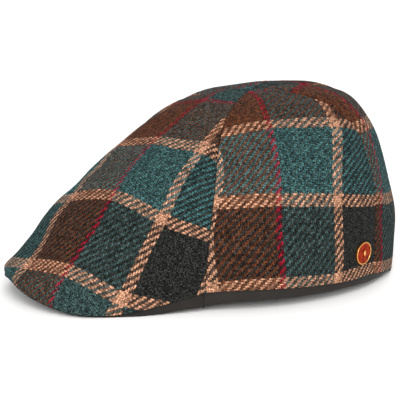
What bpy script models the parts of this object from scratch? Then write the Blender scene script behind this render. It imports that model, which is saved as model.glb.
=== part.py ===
"""A duckbill cap in plaid tweed, standing by itself as it would on a table.

The crown is five cloth panels that meet at its highest point: one front panel that runs on over the
peak, two side panels and two back panels. The front panel's lower edge is the rim of a stiff arched
peak. A dark inner band goes all round inside the hem, and a small round badge is pinned near the
back of the wearer's left side.

Metres, +Z up. The peak points along -Y, and the wearer's left side is +X. Angles are measured in plan
about the crown's highest point: 0 is straight ahead, 90 is the side and 180 is the back. The cap is
the same on both sides of the plane X = 0, apart from the badge.
"""

import math

import bmesh
import bpy
from mathutils import Matrix, Vector

# Driving sizes
HEAD_LENGTH = 0.206         # hem of the crown, outside of the cloth, front to back
HEAD_WIDTH = 0.170
CROWN_HEIGHT = 0.1265       # point where the seams meet, above the surface that the cap stands on
TOP_SETBACK = 0.006         # that point lies this far behind the middle of the hem
PEAK_REACH = 0.060          # peak's tip ahead of the hem's oval
TIP_RISE = 0.0175           # peak's tip above the surface
SIDE_RISE = 0.014           # hem above the surface at the sides
CLOTH = 0.0022              # wall of the tweed
GAP = 0.0003                # clearance between neighbouring pieces
PEAK_BOARD = 0.003          # stiff peak with its facing
PEAK_LIP = 0.008            # dark edge of the peak below the tweed, where it is deepest
PEAK_ROOT_RISE = 0.044      # top of the peak's inner edge at the forehead
BAND = 0.0015               # wall of the inner band
BAND_WIDTH = 0.028          # inner band from edge to edge
BAND_SIDE_RISE = 0.0072     # inner band's lower edge above the surface at the sides
BADGE_RADIUS = 0.0075
BADGE_RIM = 0.0009          # width of the badge's raised rim
BADGE_DEPTH = 0.0018
BADGE_FLOOR = 0.0005
BADGE_ANGLE = 121.5         # degrees, in plan
BADGE_SHARE = 0.92          # way down the profile from the top to the hem

# How finely each panel is divided between its seams
FRONT_COLUMNS = 30
SIDE_COLUMNS = 16
BACK_COLUMNS = 8
PEAK_COLUMNS = 26           # of the front panel's columns, those that the stiff peak spans
BADGE_SIDES = 32

# Share of the profile at which each ring of faces lies, from the top to the hem
EDGE_RING = 0.98
RINGS = [0.006, 0.06] + [0.0625 * step for step in range(2, 16)] + [EDGE_RING, 1.0]

# Run of each seam down the crown: share of the profile, angle
SIDE_SEAM = [(0.0, 43.5), (0.2, 46.0), (0.42, 49.5), (0.6, 51.5), (0.8, 51.0), (1.0, 49.5)]
BACK_SEAM = [(0.0, 138.0), (0.2, 138.0), (0.4, 137.0), (0.6, 134.0), (0.85, 131.5), (1.0, 132.0)]

# Plan outline of the rim: angle, peak beyond the hem's oval as a share of PEAK_REACH
PEAK_PLAN = [
    (0.0, 1.000),
    (5.0, 0.995),
    (10.0, 0.945),
    (15.0, 0.845),
    (20.0, 0.715),
    (25.0, 0.530),
    (30.0, 0.365),
    (36.0, 0.215),
    (44.0, 0.085),
    (52.5, 0.000),
    (180.0, 0.000),
]

# Height of the tweed's lower edge: angle, share of TIP_RISE, share of SIDE_RISE
HEM_HEIGHT = [
    (0.0, 1.00, 0.00),
    (5.0, 0.81, 0.00),
    (10.0, 0.54, 0.00),
    (15.0, 0.30, 0.00),
    (20.0, 0.12, 0.02),
    (25.0, 0.03, 0.08),
    (30.0, 0.00, 0.22),
    (36.0, 0.00, 0.47),
    (44.0, 0.00, 0.80),
    (50.0, 0.00, 0.97),
    (62.0, 0.00, 1.06),
    (75.0, 0.00, 1.05),
    (94.0, 0.00, 0.96),
    (115.0, 0.00, 0.83),
    (135.0, 0.00, 0.66),
    (150.0, 0.00, 0.29),
    (160.0, 0.00, 0.00),
    (170.0, 0.00, 0.00),
    (180.0, 0.00, 0.00),
]

# Profile from the top to the hem: angle, then for each of the eight stations below the top
# (share of the rim's radius, share of the height between the rim and the top)
PROFILES = [
    (0.0, [(0.150, 0.985), (0.280, 0.918), (0.405, 0.810), (0.552, 0.645),
           (0.680, 0.498), (0.792, 0.360), (0.895, 0.195), (1.0, 0.0)]),
    (14.0, [(0.157, 0.982), (0.295, 0.920), (0.433, 0.816), (0.581, 0.669),
            (0.698, 0.529), (0.802, 0.394), (0.905, 0.232), (1.0, 0.0)]),
    (27.0, [(0.190, 0.972), (0.355, 0.908), (0.525, 0.798), (0.672, 0.658),
            (0.782, 0.520), (0.872, 0.370), (0.945, 0.190), (1.0, 0.0)]),
    (51.0, [(0.280, 0.963), (0.520, 0.892), (0.700, 0.797), (0.840, 0.687),
            (0.945, 0.552), (1.000, 0.395), (1.020, 0.200), (1.0, 0.0)]),
    (90.0, [(0.300, 0.971), (0.550, 0.910), (0.740, 0.820), (0.880, 0.705),
            (0.970, 0.565), (1.020, 0.405), (1.030, 0.210), (1.0, 0.0)]),
    (135.0, [(0.275, 0.992), (0.505, 0.953), (0.680, 0.882), (0.822, 0.782),
             (0.922, 0.645), (0.985, 0.470), (1.010, 0.240), (1.0, 0.0)]),
    (180.0, [(0.265, 0.998), (0.500, 0.976), (0.690, 0.922), (0.825, 0.800),
             (0.915, 0.625), (0.985, 0.430), (1.032, 0.220), (1.0, 0.0)]),
]

# Stiff peak: angle, share of PEAK_LIP below the tweed's edge, share of PEAK_ROOT_RISE
PEAK_EDGES = [
    (0.0, 0.12, 1.00),
    (15.0, 0.12, 0.86),
    (22.0, 0.15, 0.70),
    (27.0, 0.27, 0.55),
    (31.0, 0.48, 0.43),
    (37.0, 0.74, 0.29),
    (44.0, 0.98, 0.20),
]

# Inner band's lower edge: angle, share of PEAK_ROOT_RISE, share of BAND_SIDE_RISE
BAND_EDGE = [
    (0.0, 0.93, 0.00),
    (15.0, 0.79, 0.00),
    (27.0, 0.48, 0.00),
    (37.0, 0.20, 0.05),
    (44.0, 0.06, 0.40),
    (50.0, 0.00, 0.75),
    (57.5, 0.00, 0.88),
    (70.0, 0.00, 0.98),
    (81.0, 0.00, 1.00),
    (109.0, 0.00, 0.95),
    (132.0, 0.00, 0.72),
    (150.0, 0.00, 0.34),
    (162.0, 0.00, 0.08),
    (180.0, 0.00, 0.05),
]

TWEED_COLOUR = (0.10, 0.14, 0.13)
DARK_COLOUR = (0.035, 0.028, 0.024)
BRASS_COLOUR = (0.75, 0.46, 0.22)
ENAMEL_COLOUR = (0.48, 0.045, 0.01)


def smooth(stops, rows, at, level_ends):
    """Values at `at` on a smooth curve through the rows, a row for each stop.

    With level_ends the curve is level at its first and last stop, as it is where the cap's two
    halves meet.
    """
    last = len(stops) - 1
    at = min(max(at, stops[0]), stops[last])
    span = 0
    while span < last - 1 and at > stops[span + 1]:
        span += 1

    def slope(stop):
        if stop in (0, last) and level_ends:
            return [0.0] * len(rows[0])
        before = max(stop - 1, 0)
        after = min(stop + 1, last)
        width = stops[after] - stops[before]
        return [(b - a) / width for a, b in zip(rows[before], rows[after])]

    width = stops[span + 1] - stops[span]
    t = (at - stops[span]) / width
    weights = (2 * t**3 - 3 * t**2 + 1, 3 * t**2 - 2 * t**3,
               (t**3 - 2 * t**2 + t) * width, (t**3 - t**2) * width)
    curves = zip(rows[span], rows[span + 1], slope(span), slope(span + 1))
    return [sum(w * value for w, value in zip(weights, values)) for values in curves]


def seam_angle(run, share):
    """Plan angle of a seam at a share of the way down its profile."""
    return smooth([row[0] for row in run], [row[1:] for row in run], share, False)[0]


def side_seam(share):
    """Seam between the front panel and the side panel, on the left."""
    return seam_angle(SIDE_SEAM, share)


def back_seam(share):
    """Seam between the side panel and the back panel, on the left."""
    return seam_angle(BACK_SEAM, share)


def centre_back(share):
    """Seam between the two back panels, which runs straight down."""
    return 180.0


def mirrored(seam):
    """The same seam on the cap's right side."""
    return lambda share: -seam(share)


def from_front(angle):
    """The angle in degrees from straight ahead, 0 to 180, whichever side it is on."""
    angle = abs(angle) % 360.0
    return min(angle, 360.0 - angle)


def by_angle(table, angle):
    """Row of a table whose first column is an angle, read smoothly between its rows."""
    return smooth([row[0] for row in table], [row[1:] for row in table], from_front(angle), True)


def oval_radius(angle, inset=0.0):
    """Distance in plan from the top point to the hem's oval, inset by a clearance or a wall."""
    a = HEAD_LENGTH / 2 - inset
    b = HEAD_WIDTH / 2 - inset
    side = math.sin(math.radians(angle)) / b
    ahead = math.cos(math.radians(angle)) / a
    back = TOP_SETBACK / a
    square = side**2 + ahead**2
    return (ahead * back + math.sqrt((ahead * back)**2 + square * (1 - back**2))) / square


def in_plan(angle, radius, height):
    """Point at a plan angle and radius about the top point."""
    turn = math.radians(angle)
    return Vector((radius * math.sin(turn), TOP_SETBACK - radius * math.cos(turn), height))


def rim_radius(angle):
    """Plan radius of the tweed's lower edge."""
    return oval_radius(angle) + PEAK_REACH * max(by_angle(PEAK_PLAN, angle)[0], 0.0)


def hem_height(angle):
    """Height of the tweed's lower edge, which lies flat where it meets the surface."""
    tip, side = by_angle(HEM_HEIGHT, angle)
    return max(TIP_RISE * tip + SIDE_RISE * side, 0.0)


def crown(angle, share):
    """Point on the outside of the cap, at a plan angle and a share of the way down its profile."""
    stations = len(PROFILES[0][1])
    table = [[section[0]] + [value for pair in section[1] for value in pair] for section in PROFILES]
    flat = by_angle(table, angle)
    rows = [(0.0, 1.0)] + [(flat[2 * i], flat[2 * i + 1]) for i in range(stations)]
    out, up = smooth([i / stations for i in range(stations + 1)], rows, share, False)
    low = hem_height(angle)
    return in_plan(angle, rim_radius(angle) * out, low + (CROWN_HEIGHT - low) * up)


def crown_normal(angle, share):
    """Outward normal of the cap at the same place."""
    step = 0.002
    turn = 0.25
    share = min(max(share, 2 * step), 1 - step)
    down = crown(angle, share + step) - crown(angle, share - step)
    across = crown(angle + turn, share) - crown(angle - turn, share)
    return down.cross(across).normalized()


def skin(angle, share, depth):
    """Point at a depth below the cap's outside, level with the hem where it ends."""
    point = crown(angle, share)
    normal = crown_normal(angle, share)
    if share < 1.0:
        return point - normal * depth
    return point - Vector((normal.x, normal.y, 0.0)).normalized() * depth


def material(name, colour, roughness, metallic=0.0):
    """A plain Principled material."""
    made = bpy.data.materials.new(name)
    made.use_nodes = True
    shader = made.node_tree.nodes["Principled BSDF"]
    shader.inputs["Base Color"].default_value = (*colour, 1.0)
    shader.inputs["Roughness"].default_value = roughness
    shader.inputs["Metallic"].default_value = metallic
    made.diffuse_color = (*colour, 1.0)
    return made


def finish(name, points, faces, look, parent):
    """One named object from points and faces, closed and facing out."""
    shape = bmesh.new()
    corners = [shape.verts.new(point) for point in points]
    for face in faces:
        shape.faces.new([corners[i] for i in face])
    bmesh.ops.recalc_face_normals(shape, faces=shape.faces)
    mesh = bpy.data.meshes.new(name)
    shape.to_mesh(mesh)
    shape.free()
    mesh.materials.append(look)
    mesh.shade_smooth()
    mesh.set_sharp_from_angle(angle=math.radians(40))
    made = bpy.data.objects.new(name, mesh)
    made.parent = parent
    bpy.context.scene.collection.objects.link(made)
    return made


def two_triangles(a, b, c, d):
    """A four-sided face cut along the same diagonal everywhere, so that two skins stay parallel."""
    return [(a, b, c), (a, c, d)]


def panel(name, first_seam, last_seam, columns, look, parent):
    """One cloth panel of even wall between two seams, from the top point to the rim."""
    axis = Vector((0.0, TOP_SETBACK))
    points = []
    for depth in (0.0, CLOTH):
        for share in RINGS:
            start = first_seam(share)
            end = last_seam(share)
            start += math.degrees(GAP / 2 / (crown(start, share).xy - axis).length)
            end -= math.degrees(GAP / 2 / (crown(end, share).xy - axis).length)
            for column in range(columns + 1):
                points.append(skin(start + (end - start) * column / columns, share, depth))
    width = columns + 1
    inside = width * len(RINGS)
    faces = []
    for ring in range(len(RINGS) - 1):
        for column in range(columns):
            corner = ring * width + column
            around = (corner, corner + 1, corner + width + 1, corner + width)
            faces += two_triangles(*around)
            faces += two_triangles(*[inside + i for i in around])
        for corner in (ring * width, ring * width + columns):
            faces += two_triangles(corner, corner + width, inside + corner + width, inside + corner)
    for ring in (0, len(RINGS) - 1):
        for column in range(columns):
            corner = ring * width + column
            faces += two_triangles(corner, corner + 1, inside + corner + 1, inside + corner)
    return finish(name, points, faces, look, parent)


def swept(name, sections, closed, look, parent):
    """A body through cross-sections of equal length, joined in a ring or capped at both ends."""
    size = len(sections[0])
    points = [point for section in sections for point in section]
    count = len(sections)
    faces = []
    for index in range(count if closed else count - 1):
        here = index * size
        there = (index + 1) % count * size
        for i in range(size):
            j = (i + 1) % size
            faces += two_triangles(here + i, here + j, there + j, there + i)
    if not closed:
        last = (count - 1) * size
        for i in range(1, size - 1):
            faces.append((0, i, i + 1))
            faces.append((last, last + i + 1, last + i))
    return finish(name, points, faces, look, parent)


def front_angles(columns):
    """Angles of the middle columns of the front panel, at its rim."""
    pitch = 2 * side_seam(1.0) / FRONT_COLUMNS
    return [pitch * (i - columns / 2) for i in range(columns + 1)]


def under_peak(look, parent):
    """Stiff arched peak inside the front panel's rim, back to the inner band at the forehead."""
    depth = CLOTH + GAP
    sections = []
    for angle in front_angles(PEAK_COLUMNS):
        lip, root = by_angle(PEAK_EDGES, angle)
        top_edge = skin(angle, EDGE_RING, depth)
        low_edge = skin(angle, 1.0, depth)
        low_edge.z = max(low_edge.z - PEAK_LIP * lip, 0.0)
        root_top = in_plan(angle, oval_radius(angle, CLOTH), PEAK_ROOT_RISE * root)
        root_low = root_top - Vector((0.0, 0.0, PEAK_BOARD))
        sections.append([low_edge, top_edge, root_top, root_low])
    return swept("under_peak", sections, False, look, parent)


def inner_band(look, parent):
    """Band that goes all round inside the hem, hanging a little below it at the sides."""
    front_end = side_seam(1.0)
    side_end = back_seam(1.0)
    side = [front_end + (side_end - front_end) * i / SIDE_COLUMNS for i in range(1, SIDE_COLUMNS)]
    back = [side_end + (180.0 - side_end) * i / BACK_COLUMNS for i in range(BACK_COLUMNS + 1)]
    right = [-angle for angle in reversed(side + back[:-1])]
    sections = []
    for angle in front_angles(FRONT_COLUMNS) + side + back + right:
        root, rise = by_angle(BAND_EDGE, angle)
        low = PEAK_ROOT_RISE * root + BAND_SIDE_RISE * rise
        outer = oval_radius(angle, CLOTH + GAP)
        inner = oval_radius(angle, CLOTH + GAP + BAND)
        sections.append([in_plan(angle, outer, low), in_plan(angle, outer, low + BAND_WIDTH),
                         in_plan(angle, inner, low + BAND_WIDTH), in_plan(angle, inner, low)])
    return swept("sweatband", sections, True, look, parent)


def turned(name, profile, place, look, parent):
    """A closed round piece from a profile of (radius, height) that starts and ends on its axis."""
    points = [place @ Vector((0.0, 0.0, profile[0][1]))]
    for radius, height in profile[1:-1]:
        for i in range(BADGE_SIDES):
            turn = 2 * math.pi * i / BADGE_SIDES
            points.append(place @ Vector((radius * math.cos(turn), radius * math.sin(turn), height)))
    points.append(place @ Vector((0.0, 0.0, profile[-1][1])))
    end = len(points) - 1
    last_ring = end - BADGE_SIDES
    faces = []
    for i in range(BADGE_SIDES):
        j = (i + 1) % BADGE_SIDES
        faces.append((0, 1 + j, 1 + i))
        faces.append((end, last_ring + i, last_ring + j))
        for ring in range(len(profile) - 3):
            low = 1 + ring * BADGE_SIDES
            high = low + BADGE_SIDES
            faces += two_triangles(low + i, low + j, high + j, high + i)
    return finish(name, points, faces, look, parent)


def badge(brass, enamel, parent):
    """Round badge on the side panel: a shallow metal cup and the enamel that fills it."""
    normal = crown_normal(BADGE_ANGLE, BADGE_SHARE)
    seat = crown(BADGE_ANGLE, BADGE_SHARE) + normal * GAP
    place = Matrix.Translation(seat) @ normal.to_track_quat("Z", "Y").to_matrix().to_4x4()
    bowl = BADGE_RADIUS - BADGE_RIM
    chamfer = BADGE_RIM / 4
    turned("badge_rim", [
        (0.0, 0.0),
        (BADGE_RADIUS - chamfer, 0.0),
        (BADGE_RADIUS, chamfer),
        (BADGE_RADIUS, BADGE_DEPTH - chamfer),
        (BADGE_RADIUS - chamfer, BADGE_DEPTH),
        (bowl + chamfer, BADGE_DEPTH),
        (bowl, BADGE_DEPTH - chamfer),
        (bowl, BADGE_FLOOR),
        (0.0, BADGE_FLOOR),
    ], place, brass, parent)
    disc = bowl - GAP
    low = BADGE_FLOOR + GAP
    turned("badge_enamel", [
        (0.0, low),
        (disc, low),
        (disc, BADGE_DEPTH - 2 * chamfer),
        (disc / 2, BADGE_DEPTH - chamfer),
        (0.0, BADGE_DEPTH - chamfer / 2),
    ], place, enamel, parent)


def main():
    """Build the cap, standing on Z = 0 with the middle of its length on the origin."""
    for old in list(bpy.data.objects):
        bpy.data.objects.remove(old, do_unlink=True)
    cap = bpy.data.objects.new("cap", None)
    bpy.context.scene.collection.objects.link(cap)
    tweed = material("plaid_tweed", TWEED_COLOUR, 0.95)
    dark = material("dark_band", DARK_COLOUR, 0.6)
    brass = material("brass", BRASS_COLOUR, 0.3, 1.0)
    enamel = material("enamel", ENAMEL_COLOUR, 0.15)

    left_front, left_back = side_seam, back_seam
    right_front, right_back = mirrored(side_seam), mirrored(back_seam)
    panels = [
        panel("front_panel", right_front, left_front, FRONT_COLUMNS, tweed, cap),
        panel("side_panel_left", left_front, left_back, SIDE_COLUMNS, tweed, cap),
        panel("side_panel_right", right_back, right_front, SIDE_COLUMNS, tweed, cap),
        panel("back_panel_left", left_back, centre_back, BACK_COLUMNS, tweed, cap),
        panel("back_panel_right", mirrored(centre_back), right_back, BACK_COLUMNS, tweed, cap),
    ]
    under_peak(dark, cap)
    inner_band(dark, cap)
    badge(brass, enamel, cap)

    lengthwise = [vertex.co.y for made in panels for vertex in made.data.vertices]
    cap.location.y = -(min(lengthwise) + max(lengthwise)) / 2


main()
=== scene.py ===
"""Looks of a plaid tweed duckbill cap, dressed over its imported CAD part.

Five tweed panels, the stiff peak's facing, the inner band and the badge each replace their CAD node
in the same place. Metres, +Z up, the peak along -Y, the wearer's left side at +X. Angles are
measured in plan about the crown's top point: 0 is straight ahead, 90 the left side, 180 the back.
"""

import logging
import math
from dataclasses import dataclass, field
from enum import Enum
from typing import Callable, Optional, Sequence, Union

import bmesh
import bpy
import numpy as np
from mathutils import Matrix, Vector


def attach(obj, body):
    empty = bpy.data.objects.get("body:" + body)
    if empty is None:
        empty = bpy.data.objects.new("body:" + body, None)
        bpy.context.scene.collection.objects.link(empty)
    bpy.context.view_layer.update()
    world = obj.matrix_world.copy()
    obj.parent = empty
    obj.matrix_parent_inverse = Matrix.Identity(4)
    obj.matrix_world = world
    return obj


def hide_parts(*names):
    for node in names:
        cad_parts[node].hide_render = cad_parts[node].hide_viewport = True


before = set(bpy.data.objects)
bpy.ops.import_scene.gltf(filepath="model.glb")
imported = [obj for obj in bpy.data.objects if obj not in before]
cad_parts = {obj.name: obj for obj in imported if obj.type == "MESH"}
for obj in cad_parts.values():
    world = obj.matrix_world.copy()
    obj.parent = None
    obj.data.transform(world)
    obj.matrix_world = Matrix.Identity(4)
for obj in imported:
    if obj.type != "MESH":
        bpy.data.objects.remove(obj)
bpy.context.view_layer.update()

LOG = logging.getLogger("duckbill_cap")
Row = tuple[float, ...]
Socket = bpy.types.NodeSocket
Value = Union[float, Socket]
Seam = Callable[[np.ndarray], np.ndarray]
Mark = tuple[float, float, Optional[float], Optional[float]]

# Run of each seam down the crown: share of the profile, angle
SIDE_SEAM = ((0.0, 43.5), (0.2, 46.0), (0.42, 49.5), (0.6, 51.5), (0.8, 51.0), (1.0, 49.5))
BACK_SEAM = ((0.0, 138.0), (0.2, 138.0), (0.4, 137.0), (0.6, 134.0), (0.85, 131.5), (1.0, 132.0))

# Plan outline of the rim: angle, peak beyond the head's oval as a share of its reach
PEAK_PLAN = (
    (0.0, 1.000), (5.0, 0.995), (10.0, 0.945), (15.0, 0.845), (20.0, 0.715), (25.0, 0.530),
    (30.0, 0.365), (36.0, 0.215), (44.0, 0.085), (52.5, 0.000), (180.0, 0.000),
)

# Height of the tweed's lower edge: angle, share of the tip's rise, share of the side's rise
HEM_HEIGHT = (
    (0.0, 0.78, 0.00), (5.0, 0.69, 0.00), (10.0, 0.50, 0.00), (15.0, 0.30, 0.00),
    (20.0, 0.12, 0.02), (25.0, 0.03, 0.08), (30.0, 0.00, 0.22), (36.0, 0.00, 0.47),
    (44.0, 0.00, 0.80), (50.0, 0.00, 0.97), (62.0, 0.00, 1.06), (75.0, 0.00, 1.05),
    (94.0, 0.00, 0.96), (115.0, 0.00, 0.83), (135.0, 0.00, 0.66), (150.0, 0.00, 0.29),
    (160.0, 0.00, 0.00), (170.0, 0.00, 0.00), (180.0, 0.00, 0.00),
)

# Profile from the top to the hem: angle, then eight stations of (share of the rim's radius,
# share of the height between the rim and the top)
PROFILES = (
    (0.0, 0.150, 0.985, 0.280, 0.918, 0.405, 0.810, 0.552, 0.645,
     0.680, 0.498, 0.792, 0.360, 0.895, 0.195, 1.0, 0.0),
    (14.0, 0.157, 0.982, 0.295, 0.920, 0.433, 0.816, 0.581, 0.669,
     0.698, 0.529, 0.802, 0.394, 0.905, 0.232, 1.0, 0.0),
    (27.0, 0.190, 0.972, 0.355, 0.908, 0.525, 0.798, 0.672, 0.658,
     0.782, 0.520, 0.872, 0.370, 0.945, 0.190, 1.0, 0.0),
    (51.0, 0.280, 0.963, 0.520, 0.892, 0.700, 0.797, 0.840, 0.687,
     0.945, 0.552, 1.000, 0.395, 1.020, 0.200, 1.0, 0.0),
    (90.0, 0.300, 0.971, 0.550, 0.910, 0.740, 0.820, 0.880, 0.705,
     0.970, 0.565, 1.020, 0.405, 1.030, 0.210, 1.0, 0.0),
    (135.0, 0.275, 0.992, 0.505, 0.953, 0.680, 0.882, 0.822, 0.782,
     0.922, 0.645, 0.985, 0.470, 1.010, 0.240, 1.0, 0.0),
    (180.0, 0.265, 0.998, 0.500, 0.976, 0.690, 0.922, 0.825, 0.800,
     0.915, 0.625, 0.985, 0.430, 1.032, 0.220, 1.0, 0.0),
)

# Stiff peak: angle, share of the lip below the tweed's edge, share of the root's rise
PEAK_EDGES = (
    (0.0, 0.12, 1.00), (15.0, 0.12, 0.86), (22.0, 0.15, 0.70), (27.0, 0.27, 0.55),
    (31.0, 0.48, 0.43), (37.0, 0.74, 0.29), (44.0, 0.98, 0.20), (49.0, 1.14, 0.14),
)

# Inner band's lower edge: angle, share of the root's rise, share of the band's rise at the sides
BAND_EDGE = (
    (0.0, 0.93, 0.00), (15.0, 0.79, 0.00), (27.0, 0.48, 0.00), (37.0, 0.16, 0.10),
    (44.0, 0.02, 0.32), (50.0, 0.00, 0.60), (57.5, 0.00, 0.88), (70.0, 0.00, 0.98),
    (81.0, 0.00, 1.00), (109.0, 0.00, 0.95), (132.0, 0.00, 0.72), (150.0, 0.00, 0.34),
    (162.0, 0.00, 0.08), (180.0, 0.00, 0.05),
)

# Local fullness of the cloth: angle and share at its middle, its spread in both, height in mm.
# A fold lies over the brow, the peak's edge is rolled with a hollow above it, the back is full.
RELIEF = (
    (-4.0, 0.605, 15.0, 0.035, 1.1), (-4.0, 0.690, 15.0, 0.045, -0.7),
    (0.0, 0.970, 26.0, 0.024, 2.2), (-4.0, 0.870, 20.0, 0.055, -2.6),
    (152.0, 0.420, 26.0, 0.170, 1.8), (-152.0, 0.420, 26.0, 0.170, 1.8),
    (0.0, 0.0, 500.0, 0.07, -1.0),
)

# Soft slack of the cloth: way of each wave in radians a millimetre, and where it starts
WAVES = (
    ((0.11, 0.03, 0.05), 0.4), ((-0.04, 0.12, 0.06), 1.9), ((0.06, -0.07, 0.13), 3.1),
    ((0.17, 0.12, -0.09), 4.4), ((-0.14, 0.16, 0.11), 5.2),
)

# Where the cloth lies on each panel: angle, share of the profile, warp thread, weft thread. None
# leaves that direction free. A right panel turns its marks over about a middle warp thread.
SIDE_MIDDLE = 44.0
BACK_MIDDLE = 20.0
FRONT_MARKS = (
    (4.0, 0.925, -34, 32), (-2.0, 0.68, -34, 70), (15.0, 0.90, -1.5, 32), (14.5, 0.62, -1.5, 70),
    (12.5, 0.41, -1.5, 108), (28.0, 0.95, 32, 32), (34.0, 0.69, 32, 70), (41.5, 0.39, 32, 108),
    (1.5, 0.81, -34, None), (-5.0, 0.595, -34, None), (3.5, 0.985, -34, None),
    (16.0, 0.785, -1.5, None), (14.5, 0.985, -1.5, None), (12.5, 0.50, -1.5, None),
    (11.0, 0.21, -1.5, None), (30.5, 0.82, 32, None), (37.0, 0.51, 32, None),
    (26.5, 0.985, 32, None), (45.0, 0.28, 32, None), (49.5, 0.98, 70, None),
    (21.0, 0.905, None, 32), (33.5, 0.98, None, 32), (47.5, 0.775, None, 70),
    (50.5, 0.79, None, 70), (23.0, 0.62, None, 70), (-9.0, 0.46, None, 108),
    (29.5, 0.39, None, 108), (48.5, 0.43, None, 108), (17.0, 0.185, None, 140.5),
    (38.5, 0.145, None, 140.5),
)
SIDE_MARKS = (
    (78.0, 0.66, -1.5, 70), (106.5, 0.715, 32, 70), (80.0, 0.98, -1.5, 32),
    (107.5, 0.985, 32, 32), (78.0, 0.29, -1.5, 108), (124.0, 0.395, 32, 108),
    (52.0, 0.665, -34, 70), (52.0, 0.985, -34, 32), (78.0, 0.82, -1.5, None),
    (51.2, 0.735, -32.8, None), (50.9, 0.84, -33.6, None),
    (78.5, 0.495, -1.5, None), (76.5, 0.10, -1.5, None), (106.0, 0.855, 32, None),
    (110.5, 0.565, 32, None), (136.0, 0.27, 32, None), (62.0, 0.66, None, 70),
    (92.0, 0.68, None, 70), (123.5, 0.76, None, 70), (54.5, 0.31, None, 108),
    (100.5, 0.315, None, 108), (64.5, 0.98, None, 32), (92.5, 0.98, None, 32),
    (124.0, 0.975, None, 32),
)
BACK_MARKS = (
    (136.5, 0.775, -1.5, 70), (137.0, 0.98, -1.5, 32), (136.0, 0.86, -1.5, None),
    (140.0, 0.67, -1.5, None), (144.5, 0.56, -1.5, None), (147.0, 0.45, -1.5, None),
    (164.0, 0.26, -1.5, None), (141.5, 0.78, None, 70), (141.0, 0.98, None, 32),
    (147.0, 0.485, None, 108), (175.0, 0.98, None, 32), (175.0, 0.78, None, 70),
)


def hermite(stops: Sequence[float], rows: np.ndarray, at: np.ndarray, level: bool) -> np.ndarray:
    """Values on a smooth curve through rows, one row for each stop.

    Args:
        stops: Rising places of the rows.
        rows: One row of values for each stop.
        at: Places to read.
        level: Whether the curve is level at both ends.

    Returns:
        A row of values for each place read.
    """
    places = np.asarray(stops, float)
    at = np.clip(at, places[0], places[-1])
    slopes = np.zeros_like(rows)
    slopes[1:-1] = (rows[2:] - rows[:-2]) / (places[2:] - places[:-2])[:, None]
    if not level:
        slopes[0] = (rows[1] - rows[0]) / (places[1] - places[0])
        slopes[-1] = (rows[-1] - rows[-2]) / (places[-1] - places[-2])
    span = np.clip(np.searchsorted(places, at) - 1, 0, len(places) - 2)
    width = (places[span + 1] - places[span])[..., None]
    t = (at - places[span])[..., None] / width
    return (rows[span] * (2 * t**3 - 3 * t**2 + 1) + rows[span + 1] * (3 * t**2 - 2 * t**3)
            + slopes[span] * (t**3 - 2 * t**2 + t) * width
            + slopes[span + 1] * (t**3 - t**2) * width)


def by_angle(table: Sequence[Row], angle: np.ndarray) -> np.ndarray:
    """Rows of a table whose first column is an angle from straight ahead, read smoothly.

    Args:
        table: Rows that start with an angle.
        angle: Plan angles, in degrees from straight ahead.

    Returns:
        A row of values for each angle.
    """
    turned = np.abs(angle) % 360.0
    turned = np.minimum(turned, 360.0 - turned)
    rows = np.array([row[1:] for row in table], float)
    return hermite([row[0] for row in table], rows, turned, True)


def along_seam(run: Sequence[Row], share: np.ndarray) -> np.ndarray:
    """Plan angle of a seam at each share of the way down its profile."""
    rows = np.array([row[1:] for row in run], float)
    return hermite([row[0] for row in run], rows, np.asarray(share, float), False)[..., 0]


def ease(value: np.ndarray) -> np.ndarray:
    """A smooth step from 0 to 1 as the value goes from 0 to 1."""
    clipped = np.clip(value, 0.0, 1.0)
    return clipped * clipped * (3.0 - 2.0 * clipped)


def lengths(steps: np.ndarray) -> np.ndarray:
    """Length of each vector in the last axis."""
    return np.sqrt((steps**2).sum(-1))


def unit(vectors: np.ndarray) -> np.ndarray:
    """The same vectors at length 1."""
    return vectors / np.maximum(lengths(vectors), 1e-12)[..., None]


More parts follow.
